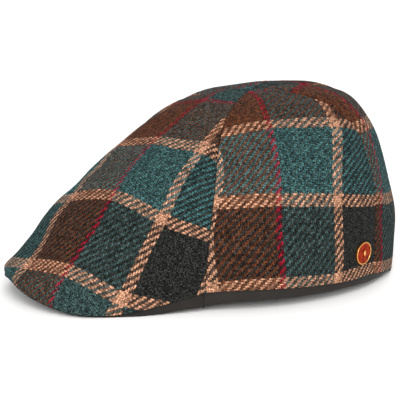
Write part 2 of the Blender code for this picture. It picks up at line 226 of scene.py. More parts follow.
@dataclass(frozen=True)
class CapForm:
    """Outside of the cap, as a surface over plan angle and share of the way down the profile."""

    head_length: float = 0.206
    head_width: float = 0.170
    crown_height: float = 0.1265
    top_setback: float = 0.006
    peak_reach: float = 0.060
    tip_rise: float = 0.0175
    side_rise: float = 0.014
    oval_centre: float = 0.02845
    slack: float = 0.0005
    slack_fade: float = 0.08
    fold_fade: float = 0.03
    top_fade: float = 0.1
    tip_tuck: float = 0.0016
    tip_tuck_share: float = 0.025
    tip_tuck_angle: float = 15.0

    def oval(self, angle: np.ndarray, inset: float = 0.0) -> np.ndarray:
        """Plan distance from the top point to the head's oval, inset by a wall.

        Args:
            angle: Plan angles, in degrees from straight ahead.
            inset: Metres to stay inside the oval's outside.

        Returns:
            Distances in metres.
        """
        half_length = self.head_length / 2 - inset
        half_width = self.head_width / 2 - inset
        side = np.sin(np.radians(angle)) / half_width
        ahead = np.cos(np.radians(angle)) / half_length
        back = self.top_setback / half_length
        square = side**2 + ahead**2
        return (ahead * back + np.sqrt((ahead * back)**2 + square * (1 - back**2))) / square

    def rim(self, angle: np.ndarray) -> np.ndarray:
        """Plan radius of the tweed's lower edge."""
        return self.oval(angle) + self.peak_reach * np.maximum(by_angle(PEAK_PLAN, angle)[..., 0], 0)

    def hem(self, angle: np.ndarray) -> np.ndarray:
        """Height of the tweed's lower edge."""
        shares = by_angle(HEM_HEIGHT, angle)
        return np.maximum(self.tip_rise * shares[..., 0] + self.side_rise * shares[..., 1], 0.0)

    def placed(self, angle: np.ndarray, radius: np.ndarray, height: np.ndarray) -> np.ndarray:
        """Points at plan angles and radii about the top point.

        Args:
            angle: Plan angles, in degrees from straight ahead.
            radius: Distances from the top point.
            height: Heights above the surface.

        Returns:
            The points.
        """
        turn = np.radians(angle)
        middle = self.oval_centre + self.top_setback
        return np.stack([radius * np.sin(turn), middle - radius * np.cos(turn),
                         height + 0.0 * radius], -1)

    def point(self, angle: np.ndarray, share: np.ndarray) -> np.ndarray:
        """Points on the plain surface.

        Args:
            angle: Plan angles in degrees.
            share: Shares of the way down the profile, of the same shape or one that broadcasts.

        Returns:
            Points, one for each pair.
        """
        angle, share = np.broadcast_arrays(np.asarray(angle, float), np.asarray(share, float))
        shape = angle.shape
        angle, share = angle.ravel(), np.clip(share.ravel(), 0.0, 1.0)
        below = by_angle(PROFILES, angle).reshape(len(angle), -1, 2)
        rows = np.concatenate([np.tile((0.0, 1.0), (len(angle), 1, 1)), below], axis=1)
        spans = rows.shape[1] - 1
        slopes = np.empty_like(rows)
        slopes[:, 1:-1] = (rows[:, 2:] - rows[:, :-2]) / 2
        slopes[:, 0] = rows[:, 1] - rows[:, 0]
        slopes[:, -1] = rows[:, -1] - rows[:, -2]
        span = np.clip((share * spans).astype(int), 0, spans - 1)
        t = (share * spans - span)[:, None]
        pick = np.arange(len(angle))
        out_up = (rows[pick, span] * (2 * t**3 - 3 * t**2 + 1)
                  + rows[pick, span + 1] * (3 * t**2 - 2 * t**3)
                  + slopes[pick, span] * (t**3 - 2 * t**2 + t)
                  + slopes[pick, span + 1] * (t**3 - t**2))
        low = self.hem(angle)
        height = low + (self.crown_height - low) * out_up[:, 1]
        return self.placed(angle, self.rim(angle) * out_up[:, 0], height).reshape(*shape, 3)

    def normal(self, angle: np.ndarray, share: np.ndarray) -> np.ndarray:
        """Outward normals of the plain surface.

        Args:
            angle: Plan angles, in degrees from straight ahead.
            share: Shares of the profile, 0 at the top point and 1 at the hem.

        Returns:
            Unit normals.
        """
        step, turn = 0.002, 0.25
        share = np.clip(share, 2 * step, 1 - step)
        down = self.point(angle, share + step) - self.point(angle, share - step)
        across = self.point(angle + turn, share) - self.point(angle - turn, share)
        return unit(np.cross(down, across))

    def swell(self, angle: np.ndarray, share: np.ndarray) -> np.ndarray:
        """How far the cloth stands off the plain surface, by its fullness and its soft slack.

        Args:
            angle: Plan angles, in degrees from straight ahead.
            share: Shares of the profile, 0 at the top point and 1 at the hem.

        Returns:
            Heights in metres.
        """
        place = self.point(angle, share) * 1000
        waves = sum(np.sin(place @ np.array(way) + start) for way, start in WAVES)
        full = sum(height / 1000 * np.exp(-((angle - turn) / wide)**2 - ((share - down) / deep)**2)
                   for turn, down, wide, deep, height in RELIEF)
        fade = ease((1 - share) / self.slack_fade) * ease(share / self.top_fade)
        tuck = (self.tip_tuck * ease(1 - (1 - share) / self.tip_tuck_share)
                * np.exp(-(angle / self.tip_tuck_angle)**2))
        return full * ease((1 - share) / self.fold_fade) - tuck + self.slack * waves / 2.2 * fade

    def skin(self, angle: np.ndarray, share: np.ndarray, depth: np.ndarray) -> np.ndarray:
        """Points at a depth below the cloth's outside, square to it but level at the hem.

        Args:
            angle: Plan angles, in degrees from straight ahead.
            share: Shares of the profile, 0 at the top point and 1 at the hem.
            depth: Metres below the cloth's outside.

        Returns:
            The points.
        """
        normal = self.normal(angle, share)
        level = unit(normal * np.array((1.0, 1.0, 0.0)))
        blend = ease((share - 0.95) / 0.05)[..., None]
        way = unit(normal * (1 - blend) + level * blend)
        return self.point(angle, share) + way * (self.swell(angle, share) - depth)[..., None]


@dataclass(frozen=True)
class Cloth:
    """The tweed as woven: pitch of its threads, and its wall."""

    warp_pitch: float = 0.00120
    weft_pitch: float = 0.00138
    wall: float = 0.0022


class Flattening:
    """Lays a curved panel out flat, as its pattern piece was cut, and places the plaid on it."""

    reach = 0.036
    softness = 0.02

    def __init__(self, points: np.ndarray, angles: np.ndarray, shares: np.ndarray) -> None:
        """Flatten a grid of points with the unwrap that stretches cloth least.

        Args:
            points: Grid of points in space.
            angles: Plan angle of each grid point.
            shares: Shares of the profile, one for each row.
        """
        self.points = points
        self.angles = angles
        self.shares = shares
        self.flat = self._unwrapped()

    def _unwrapped(self) -> np.ndarray:
        """Flat metres of each grid point.

        Returns:
            Grid of flat points.
        """
        rows, columns = self.points.shape[:2]
        corner = np.arange(rows * columns).reshape(rows, columns)
        faces = np.stack([corner[:-1, :-1], corner[1:, :-1], corner[1:, 1:], corner[:-1, 1:]], -1)
        mesh = bpy.data.meshes.new("pattern_piece")
        mesh.from_pydata(self.points.reshape(-1, 3).tolist(), [], faces.reshape(-1, 4).tolist())
        mesh.uv_layers.new(name="Flat")
        made = bpy.data.objects.new("pattern_piece", mesh)
        bpy.context.scene.collection.objects.link(made)
        only(made)
        bpy.ops.object.mode_set(mode="EDIT")
        bpy.ops.mesh.select_all(action="SELECT")
        bpy.ops.uv.unwrap(method="MINIMUM_STRETCH", margin=0.0, iterations=40)
        bpy.ops.object.mode_set(mode="OBJECT")
        found = np.zeros(len(mesh.loops) * 2)
        mesh.uv_layers[0].data.foreach_get("uv", found)
        owner = np.zeros(len(mesh.loops), int)
        mesh.loops.foreach_get("vertex_index", owner)
        flat = np.zeros((rows * columns, 2))
        flat[owner] = found.reshape(-1, 2)
        flat = flat.reshape(rows, columns, 2)
        bpy.data.objects.remove(made, do_unlink=True)
        bpy.data.meshes.remove(mesh)
        return flat * math.sqrt(self.area(self.points) / self.area(flat))

    @staticmethod
    def area(grid: np.ndarray) -> float:
        """Area of a grid of points, flat or in space.

        Args:
            grid: Grid of points, a row for each share.

        Returns:
            Square metres.
        """
        down = grid[1:, :-1] - grid[:-1, :-1]
        across = grid[:-1, 1:] - grid[:-1, :-1]
        if grid.shape[-1] == 3:
            return float(lengths(np.cross(down, across)).sum())
        return float(np.abs(down[..., 0] * across[..., 1] - down[..., 1] * across[..., 0]).sum())

    def read(self, grid: np.ndarray, across: np.ndarray, share: np.ndarray) -> np.ndarray:
        """Values of a grid at fractions across the panel and shares down it.

        Args:
            grid: Grid of points, a row for each share.
            across: Fractions of the way across the panel.
            share: Shares of the profile, 0 at the top point and 1 at the hem.

        Returns:
            The values, read smoothly between the grid's own.
        """
        rows, columns = grid.shape[:2]
        row = np.interp(share, self.shares, np.arange(rows))
        column = np.clip(across, 0.0, 1.0) * (columns - 1)
        top = np.minimum(row.astype(int), rows - 2)
        left = np.minimum(column.astype(int), columns - 2)
        down = (row - top)[..., None]
        over = (column - left)[..., None]
        return ((grid[top, left] * (1 - over) + grid[top, left + 1] * over) * (1 - down)
                + (grid[top + 1, left] * (1 - over) + grid[top + 1, left + 1] * over) * down)

    def across(self, angle: float, share: float) -> float:
        """Fraction of the way across the panel at an angle.

        Args:
            angle: The plan angle.
            share: The share of the profile.

        Returns:
            The fraction, 0 at the first seam and 1 at the last.
        """
        first, last = self.read(self.angles[:, [0, -1], None], np.array([0.0, 1.0]),
                                np.array([share, share]))[:, 0]
        return (angle - first) / (last - first)

    def laid(self, marks: Sequence[Mark], cloth: Cloth) -> np.ndarray:
        """Cloth metres of each grid point, so that the marked threads lie where they should.

        Args:
            marks: Rows of angle, share, warp thread, weft thread.
            cloth: The cloth, for the pitch of its threads.

        Returns:
            Metres across and along the cloth for each grid point.
        """
        spots = np.array([self.read(self.flat, np.array([self.across(row[0], row[1])]),
                                    np.array([row[1]]))[0] for row in marks])
        wanted = np.array([[np.nan if row[2] is None else row[2] * cloth.warp_pitch,
                            np.nan if row[3] is None else row[3] * cloth.weft_pitch]
                           for row in marks])
        turn, shift = self._turned(spots, wanted)
        start = self.flat @ turn + shift
        placed = start.copy()
        here = spots @ turn + shift
        for axis in (0, 1):
            known = ~np.isnan(wanted[:, axis])
            pull = wanted[known, axis] - here[known, axis]
            placed[..., axis] += self._eased(here[known], pull, start)
        return placed

    @staticmethod
    def _turned(spots: np.ndarray, wanted: np.ndarray) -> tuple[np.ndarray, np.ndarray]:
        """The turn and shift that bring the spots nearest to what is wanted, right side up.

        Args:
            spots: Places of the marks.
            wanted: Cloth metres that each mark should have, or not a number where it is free.

        Returns:
            A turning matrix and a shift.
        """
        best = (math.inf, np.eye(2), np.zeros(2))
        for angle in np.radians(np.arange(0.0, 360.0, 0.5)):
            turn = np.array(((math.cos(angle), math.sin(angle)),
                             (-math.sin(angle), math.cos(angle))))
            shift = np.nanmean(wanted - spots @ turn, axis=0)
            miss = float(np.nansum((wanted - spots @ turn - shift)**2))
            if miss < best[0]:
                best = (miss, turn, shift)
        return best[1], best[2]

    def _eased(self, spots: np.ndarray, pull: np.ndarray, at: np.ndarray) -> np.ndarray:
        """The marks' pulls spread smoothly over the cloth, dying out away from them.

        Args:
            spots: Places of the marks.
            pull: How far each mark still has to move.
            at: Points to read the pull at.

        Returns:
            The pull at each point.
        """
        between = np.exp(-(lengths(spots[:, None] - spots[None]) / self.reach)**2)
        weights = np.linalg.solve(between + self.softness * np.eye(len(spots)), pull)
        return np.exp(-(lengths(at[..., None, :] - spots) / self.reach)**2) @ weights


def only(obj: bpy.types.Object) -> None:
    """Select one object and make it active.

    Args:
        obj: The object.
    """
    for other in bpy.context.selected_objects:
        other.select_set(False)
    bpy.context.view_layer.objects.active = obj
    obj.select_set(True)


def new_piece(name: str, points: np.ndarray, faces: list, uv: Optional[np.ndarray],
              finish: bpy.types.Material) -> bpy.types.Object:
    """A smooth-shaded piece from points and faces.

    Args:
        name: Name of the piece.
        points: Its vertices.
        faces: Its faces, wound outwards.
        uv: Cloth metres of each vertex, or None.
        finish: Its material.

    Returns:
        The new object, at the origin.
    """
    mesh = bpy.data.meshes.new(name)
    mesh.from_pydata(points.tolist(), [], faces)
    if uv is not None:
        layer = mesh.uv_layers.new(name="Cloth")
        owner = np.zeros(len(mesh.loops), int)
        mesh.loops.foreach_get("vertex_index", owner)
        layer.data.foreach_set("uv", uv[owner].ravel())
    mesh.materials.append(finish)
    mesh.shade_smooth()
    mesh.update()
    made = bpy.data.objects.new(name, mesh)
    bpy.context.scene.collection.objects.link(made)
    return made


def dress(obj: bpy.types.Object, node: str) -> None:
    """Put a piece in the place of its CAD node: hide the node and hang the piece on the root.

    Args:
        obj: The object.
        node: Name of the CAD node.
    """
    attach(obj, "root")
    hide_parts(node)


@dataclass
class Panel:
    """One tweed panel between two seams, with rolled seam edges and a rounded hem."""

    name: str
    node: str
    first: Seam
    last: Seam
    marks: Sequence[Mark]
    columns: int
    rows: int = 110
    seam_roll: float = 0.0009
    seam_gap: float = 0.00002
    seam_dip: float = 0.0006
    dip_reach: float = 0.0022
    pucker: float = 0.00025
    pucker_reach: float = 0.005
    edge_steps: tuple[float, ...] = (0.0, 0.00012, 0.0003, 0.00055, 0.0009, 0.0015, 0.0025, 0.004)
    form: CapForm = field(default_factory=CapForm)
    cloth: Cloth = field(default_factory=Cloth)

    def _row_width(self, shares: np.ndarray) -> np.ndarray:
        """Length across the panel at each share of the profile.

        Args:
            shares: Shares of the profile, one for each row.

        Returns:
            Metres for each share.
        """
        across = np.linspace(0, 1, 33)
        first, last = self.first(shares)[:, None], self.last(shares)[:, None]
        line = self.form.point(first + (last - first) * across, shares[:, None])
        return lengths(np.diff(line, axis=1)).sum(1)

    def _grid(self) -> tuple[np.ndarray, np.ndarray, np.ndarray, np.ndarray]:
        """Fractions across, shares down, and distances from the seams and hem of each vertex.

        Returns:
            Four grids, a row for each share.
        """
        steps = np.array(self.edge_steps)
        drop = np.linspace(0, 1, 61)
        middle = (self.first(drop) + self.last(drop)) / 2
        depth = lengths(np.diff(self.form.point(middle, drop), axis=0)).sum()
        body = np.linspace(0.0, 1 - steps[-1] / depth, self.rows)**1.04
        body *= (1 - steps[-1] / depth) / body[-1]
        shares = np.concatenate([body, 1 - steps[-2::-1] / depth])
        width = np.maximum(self._row_width(shares), 1e-6)
        squeeze = np.minimum(1.0, 0.3 * width / steps[-1])
        edge = steps * squeeze[:, None] / width[:, None]
        inner = np.linspace(0, 1, self.columns)[1:-1]
        start, end = edge[:, -1:], 1 - edge[:, -1:]
        across = np.concatenate([edge, start + (end - start) * inner, 1 - edge[:, ::-1]], axis=1)
        from_seam = np.minimum(across, 1 - across) * width[:, None]
        from_hem = np.broadcast_to(((1 - shares) * depth)[:, None], across.shape)
        down = np.broadcast_to(shares[:, None], across.shape)
        return across, down, from_seam, from_hem

    def _angles(self, across: np.ndarray, share: np.ndarray) -> np.ndarray:
        """Plan angle of each vertex, clear of the seams by half their gap.

        Args:
            across: Fractions of the way across the panel.
            share: Shares of the profile, 0 at the top point and 1 at the hem.

        Returns:
            Grid of plan angles.
        """
        first, last = self.first(share), self.last(share)
        radius = np.maximum(lengths(self.form.point((first + last) / 2, share)[..., :2]
                                    - self.form.point(first, 0.0 * share)[..., :2]), 1e-4)
        clear = np.minimum(np.degrees(self.seam_gap / radius), (last - first) / 4)
        return first + clear + (last - first - 2 * clear) * across

    @staticmethod
    def _rolled(distance: np.ndarray, radius: float) -> np.ndarray:
        """Depth of a quarter-round edge at a distance from it."""
        inside = np.clip(radius - distance, 0.0, radius)
        return radius - np.sqrt(radius**2 - inside**2)

    def _skins(self, across: np.ndarray, share: np.ndarray, from_seam: np.ndarray,
               from_hem: np.ndarray) -> tuple[np.ndarray, np.ndarray]:
        """Outside and inside of the panel, its edges rolled and its seams dipped and puckered.

        Args:
            across: Fractions of the way across the panel.
            share: Shares of the profile, 0 at the top point and 1 at the hem.
            from_seam: Metres from the nearer seam.
            from_hem: Metres from the hem.

        Returns:
            Grids of points on the outside and on the inside.
        """
        angle = self._angles(across, share)
        seam = self._rolled(from_seam, self.seam_roll)
        hem = self._rolled(from_hem, self.cloth.wall / 2)
        place = self.form.point(angle, share) * 1000
        ripple = (np.sin(place @ np.array((0.52, 0.41, 0.63)))
                  * np.sin(place @ np.array((-0.35, 0.6, 0.2))))
        near = np.exp(-from_seam / self.pucker_reach) * ease(from_hem / 0.01) * ease(share / 0.1)
        dip = self.seam_dip * np.exp(-from_seam / self.dip_reach) * ease(from_hem / 0.004)
        sunk = np.maximum(seam, hem) + np.minimum(dip, self.cloth.wall * 0.4)
        outer = self.form.skin(angle, share, sunk - self.pucker * ripple * near)
        return outer, self.form.skin(angle, share, self.cloth.wall - hem)

    def _pattern(self) -> tuple[Flattening, np.ndarray]:
        """The panel laid out flat on a coarse grid, and the cloth's metres at each of its points.

        Returns:
            The flat panel, and a grid of cloth metres.
        """
        shares = np.concatenate([[0.012], np.linspace(0.03, 1.0, 44)])
        first, last = self.first(shares)[:, None], self.last(shares)[:, None]
        angles = first + (last - first) * np.linspace(0, 1, 45)
        flat = Flattening(self.form.point(angles, shares[:, None]), angles, shares)
        return flat, flat.laid(self.marks, self.cloth)

    def build(self, finish: bpy.types.Material) -> bpy.types.Object:
        """Make the panel's mesh, lay the plaid on it and put it in place of its CAD node.

        Args:
            finish: The tweed.

        Returns:
            The new piece.
        """
        across, share, from_seam, from_hem = self._grid()
        points, faces = self._closed(*self._skins(across, share, from_seam, from_hem))
        flat, laid = self._pattern()
        uv = flat.read(laid, across, share)
        columns = across.shape[1]
        outside = np.concatenate([uv[0, columns // 2][None], uv[1:].reshape(-1, 2)])
        uv = np.concatenate([outside, outside[:-columns]])
        made = new_piece(self.name, points, faces, uv, finish)
        dress(made, self.node)
        flat.area(flat.points)
        return made

    @staticmethod
    def _closed(outer: np.ndarray, inner: np.ndarray) -> tuple[np.ndarray, list]:
        """Points and faces of the closed wall between two skins that meet along the hem.

        Args:
            outer: Grid of points on the outside.
            inner: Grid of points on the inside.

        Returns:
            The points, and the faces as lists of their numbers.
        """
        rows, columns = outer.shape[:2]
        body = (rows - 1) * columns
        apex = np.zeros((1, columns), int)
        out = np.concatenate([apex, 1 + np.arange(body).reshape(-1, columns)])
        inside = 2 + body + np.arange(body - columns).reshape(-1, columns)
        below = np.concatenate([apex + 1 + body, inside, out[-1:]])
        points = np.concatenate([outer[0].mean(0)[None], outer[1:].reshape(-1, 3),
                                 inner[0].mean(0)[None], inner[1:-1].reshape(-1, 3)])
        faces: list = []
        for skin, outward in ((out, True), (below, False)):
            quads = np.stack([skin[:-1, :-1], skin[1:, :-1], skin[1:, 1:], skin[:-1, 1:]], -1)
            if not outward:
                quads = quads[..., ::-1]
            faces += Panel._tidy(quads.reshape(-1, 4))
        for column, order in ((0, 1), (columns - 1, -1)):
            wall = np.stack([out[:-1, column], below[:-1, column], below[1:, column],
                             out[1:, column]], -1)[:, ::order]
            faces += Panel._tidy(wall)
        return points, faces

    @staticmethod
    def _tidy(quads: np.ndarray) -> list:
        """The quads as faces, with the corners that meet in one point merged.

        Args:
            quads: Corners of each quad.

        Returns:
            Faces of three or four corners.
        """
        found = []
        for quad in quads.tolist():
            corners = list(dict.fromkeys(quad))
            if len(corners) > 2:
                found.append(corners)
        return found


def swept(sections: np.ndarray, closed: bool) -> tuple[np.ndarray, list]:
    """Points and faces of a body through cross-sections, joined in a ring or capped at both ends.

    Args:
        sections: Points of each cross-section, an array of (section, point, 3).
        closed: Whether the last section joins the first.

    Returns:
        The points and the faces.
    """
    count, size = sections.shape[:2]
    corner = np.arange(count * size).reshape(count, size)
    following = np.roll(corner, -1, axis=0) if closed else corner[1:]
    here = corner if closed else corner[:-1]
    quads = np.stack([here, np.roll(here, -1, axis=1), np.roll(following, -1, axis=1), following], -1)
    faces = quads.reshape(-1, 4).tolist()
    if not closed:
        faces += [corner[0][::-1].tolist(), corner[-1].tolist()]
    return sections.reshape(-1, 3), faces


def point_outwards(obj: bpy.types.Object) -> None:
    """Recalculate an object's faces to point outwards.

    Args:
        obj: The object.
    """
    shape = bmesh.new()
    shape.from_mesh(obj.data)
    bmesh.ops.recalc_face_normals(shape, faces=shape.faces)
    shape.to_mesh(obj.data)
    shape.free()


@dataclass
class StiffPeak:
    """Dark facing of the stiff peak, from the rim of the tweed back to the inner band."""

    lip: float = 0.008
    root_rise: float = 0.044
    board: float = 0.003
    gap: float = 0.0003
    top_share: float = 0.98
    arch: float = 0.0012
    half_span: float = 48.5
    sections: int = 201
    form: CapForm = field(default_factory=CapForm)
    cloth: Cloth = field(default_factory=Cloth)

    def build(self, finish: bpy.types.Material) -> bpy.types.Object:
        """Make the facing and put it in place of its CAD node.

        Args:
            finish: Material of the piece.

        Returns:
            The new piece.
        """
        angle = np.linspace(-self.half_span, self.half_span, self.sections)
        lip, root = by_angle(PEAK_EDGES, angle).T
        inset = self.cloth.wall + self.gap
        full = np.ones_like(angle)
        top_edge = self.form.skin(angle, self.top_share * full, inset * full)
        low_edge = self.form.skin(angle, full, inset * full)
        low_edge[:, 2] = np.maximum(low_edge[:, 2] - self.lip * lip, 0.0)
        reach = self.form.oval(angle, self.cloth.wall)
        root_top = self.form.placed(angle, reach, self.root_rise * root)
        root_low = root_top - np.array((0.0, 0.0, self.board))
        outline = self._outline(low_edge, top_edge, root_top, root_low)
        points, faces = swept(outline, False)
        run = np.concatenate([[0.0], np.cumsum(lengths(np.diff(low_edge, axis=0)))])
        depth = np.concatenate([np.zeros((len(angle), 1)),
                                np.cumsum(lengths(np.diff(outline, axis=1)), axis=1)], axis=1)
        uv = np.stack([np.broadcast_to(run[:, None], depth.shape), depth], -1).reshape(-1, 2)
        made = new_piece("peak_facing", points, faces, uv, finish)
        point_outwards(made)
        made.data.set_sharp_from_angle(angle=math.radians(50))
        dress(made, "under_peak")
        LOG.info("peak_facing: %d faces", len(faces))
        return made

    def _outline(self, low: np.ndarray, top: np.ndarray, root_top: np.ndarray,
                 root_low: np.ndarray) -> np.ndarray:
        """Cross-sections with a rounded rim, from the lower edge round over the top and back.

        Args:
            low: Points along the lower edge.
            top: Points along the upper edge.
            root_top: Points along the root, on top.
            root_low: Points along the root, below.

        Returns:
            A ring of points for each section.
        """
        parts = [low + (top - low) * share for share in np.linspace(0.0, 1.0, 6)]
        parts += [top + (root_top - top) * share for share in np.linspace(0.15, 1.0, 8)]
        parts.append(root_low)
        for share in np.linspace(0.08, 0.98, 16):
            lift = np.array((0.0, 0.0, self.arch * math.sin(math.pi * share)))
            parts.append(root_low + (low - root_low) * share + lift)
        return np.stack(parts, 1)


@dataclass
class InnerBand:
    """Dark band all round inside the hem, with a folded lower edge."""

    wall: float = 0.0015
    width: float = 0.028
    root_rise: float = 0.044
    side_rise: float = 0.0072
    gap: float = 0.0003
    sections: int = 300
    form: CapForm = field(default_factory=CapForm)
    cloth: Cloth = field(default_factory=Cloth)

    def build(self, finish: bpy.types.Material) -> bpy.types.Object:
        """Make the band and put it in place of its CAD node.

        Args:
            finish: Material of the piece.

        Returns:
            The new piece.
        """
        angle = np.linspace(-180, 180, self.sections, endpoint=False)
        root, rise = by_angle(BAND_EDGE, angle).T
        low = self.root_rise * root + self.side_rise * rise
        clear = self.cloth.wall + self.gap
        around = np.linspace(0, math.pi, 7)
        shape = [(0.5 - 0.5 * math.cos(turn), -math.sin(turn) * 0.5) for turn in around]
        bottom = [(1 - out, 0.0, drop) for out, drop in shape]
        top = [(out, 1.0, -drop) for out, drop in shape]
        sides = [(1.0, share, 0.0) for share in (0.25, 0.5, 0.75)]
        back = [(0.0, share, 0.0) for share in (0.75, 0.5, 0.25)]
        sections, levels = [], []
        for inward, share, bulge in bottom[::-1] + sides + top[::-1] + back:
            radius = self.form.oval(angle, clear + self.wall * inward)
            height = low + self.wall / 2 + (self.width - self.wall) * share + self.wall * bulge
            sections.append(self.form.placed(angle, radius, height))
            levels.append(share * self.width)
        outline = np.stack(sections, 1)
        points, faces = swept(outline, True)
        rim = self.form.placed(angle, self.form.oval(angle, clear), low)
        run = np.concatenate([[0.0], np.cumsum(lengths(np.diff(rim, axis=0)))])
        uv = np.stack(np.broadcast_arrays(run[:, None], np.array(levels)[None]), -1).reshape(-1, 2)
        made = new_piece("inner_band", points, faces, uv, finish)
        point_outwards(made)
        dress(made, "sweatband")
        LOG.info("inner_band: %d faces", len(faces))
        return made


@dataclass
class Badge:
    """Round pin on the side: a turned metal cup, enamel in it, and a plain raised lozenge."""

    angle: float = 121.5
    share: float = 0.92
    radius: float = 0.0075
    rim: float = 0.0009
    depth: float = 0.0018
    floor: float = 0.0005
    gap: float = 0.0003
    enamel_depth: float = 0.0009
    enamel_gap: float = 0.0001
    lozenge_radius: float = 0.0021
    lozenge_depth: float = 0.0008
    lozenge_width: float = 0.62
    form: CapForm = field(default_factory=CapForm)

    def _place(self) -> Matrix:
        """Turn and place of the badge, its axis square to the cloth.

        Returns:
            The matrix.
        """
        angle, share = np.array([self.angle]), np.array([self.share])
        normal = Vector(self.form.normal(angle, share)[0])
        seat = Vector(self.form.skin(angle, share, np.array([0.0]))[0]) + normal * self.gap
        return Matrix.Translation(seat) @ normal.to_track_quat("Z", "Y").to_matrix().to_4x4()

    @staticmethod
    def _started(name: str, sides: int, radius: float, depth: float,
                 middle: float) -> bpy.types.Object:
        """A cylinder standing at the origin, in edit mode.

        Args:
            name: Name of the piece.
            sides: Sides of the cylinder.
            radius: Its radius.
            depth: Its depth.
            middle: Height of its middle.

        Returns:
            The new object.
        """
        bpy.ops.object.select_all(action="DESELECT")
        bpy.ops.mesh.primitive_cylinder_add(vertices=sides, radius=radius, depth=depth,
                                            location=(0, 0, middle))
        made = bpy.context.active_object
        made.name = name
        bpy.ops.object.mode_set(mode="EDIT")
        return made

    @staticmethod
    def _select_top(obj: bpy.types.Object) -> None:
        """Select the face on top of a mesh in edit mode, and nothing else.

        Args:
            obj: The object.
        """
        bpy.ops.mesh.select_mode(type="FACE")
        bpy.ops.mesh.select_all(action="DESELECT")
        shape = bmesh.from_edit_mesh(obj.data)
        upward = [face for face in shape.faces if face.normal.z > 0.9]
        height = max(face.calc_center_median().z for face in upward) - 1e-6
        level = [face for face in upward if face.calc_center_median().z > height]
        max(level, key=lambda face: len(face.verts)).select = True
        bmesh.update_edit_mesh(obj.data)

    @staticmethod
    def _bevelled(obj: bpy.types.Object, width: float, segments: int, by_angle_only: bool) -> None:
        """Round an object's edges, all of them or the sharp ones.

        Args:
            obj: The object.
            width: Width of the rounding in metres.
            segments: Steps of the rounding.
            by_angle_only: Whether only sharp edges are rounded.
        """
        bpy.ops.object.mode_set(mode="OBJECT")
        bevel = obj.modifiers.new("rounded", "BEVEL")
        bevel.width = width
        bevel.segments = segments
        if by_angle_only:
            bevel.limit_method = "ANGLE"
        bpy.ops.object.modifier_apply(modifier=bevel.name)

    @staticmethod
    def _finished(obj: bpy.types.Object, finish: bpy.types.Material, place: Matrix,
                  sharp: Optional[float]) -> bpy.types.Object:
        """Give a mesh its finish and its place, and leave its object at the origin.

        Args:
            obj: The piece.
            finish: Its material.
            place: Turn and place of the badge.
            sharp: Angle past which an edge stays sharp, in degrees, or None.

        Returns:
            The same piece.
        """
        obj.data.materials.append(finish)
        obj.data.shade_smooth()
        if sharp is not None:
            obj.data.set_sharp_from_angle(angle=math.radians(sharp))
        only(obj)
        bpy.ops.object.transform_apply(location=True, rotation=True, scale=True)
        obj.data.transform(place)
        obj.data.update()
        return obj

    def _cup(self, finish: bpy.types.Material, place: Matrix) -> bpy.types.Object:
        """The metal cup: a short cylinder whose top is inset and sunk, with rounded edges.

        Args:
            finish: Material of the piece.
            place: Turn and place of the badge.

        Returns:
            The new piece.
        """
        made = self._started("badge_cup", 96, self.radius, self.depth, self.depth / 2)
        self._select_top(made)
        bpy.ops.mesh.inset(thickness=self.rim)
        bpy.ops.mesh.extrude_region_move(
            TRANSFORM_OT_translate={"value": (0, 0, self.floor - self.depth)})
        self._bevelled(made, self.rim * 0.38, 4, True)
        return self._finished(made, finish, place, None)

    def _enamel(self, finish: bpy.types.Material, place: Matrix) -> bpy.types.Object:
        """The enamel: a disc whose top is drawn up into a low dome.

        Args:
            finish: Material of the piece.
            place: Turn and place of the badge.

        Returns:
            The new piece.
        """
        disc = self.radius - self.rim - self.enamel_gap
        middle = self.floor + self.enamel_gap + self.enamel_depth / 2
        made = self._started("badge_face", 96, disc, self.enamel_depth, middle)
        for inset, lift in ((0.0002, 0.00005), (0.0014, 0.0001), (0.0008, 0.0), (0.0006, 0.00006),
                            (0.0014, 0.0001)):
            self._select_top(made)
            bpy.ops.mesh.inset(thickness=inset)
            bpy.ops.transform.translate(value=(0, 0, lift))
        bpy.ops.object.mode_set(mode="OBJECT")
        return self._finished(made, finish, place, 60)

    def _lozenge(self, finish: bpy.types.Material, place: Matrix) -> bpy.types.Object:
        """A plain four-sided lozenge standing on the enamel, bevelled all round.

        Args:
            finish: Material of the piece.
            place: Turn and place of the badge.

        Returns:
            The new piece.
        """
        made = self._started("badge_lozenge", 4, self.lozenge_radius, self.lozenge_depth,
                             self.depth + self.enamel_gap)
        bpy.ops.mesh.select_all(action="SELECT")
        bpy.ops.transform.resize(value=(self.lozenge_width, 1.0, 1.0))
        self._select_top(made)
        bpy.ops.mesh.inset(thickness=0.0003)
        bpy.ops.mesh.extrude_region_move(TRANSFORM_OT_translate={"value": (0, 0, -0.00015)})
        self._bevelled(made, 0.00012, 3, False)
        return self._finished(made, finish, place, 50)

    def build(self, metal: bpy.types.Material, enamel: bpy.types.Material) -> None:
        """Make the badge's three pieces and put them in place of its CAD nodes.

        Args:
            metal: Material of the cup and the lozenge.
            enamel: Material of the enamel.
        """
        place = self._place()
        dress(self._cup(metal, place), "badge_rim")
        dress(self._enamel(enamel, place), "badge_enamel")
        lozenge = self._lozenge(metal, place)
        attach(lozenge, "root")
        LOG.info("badge: cup, enamel and lozenge")


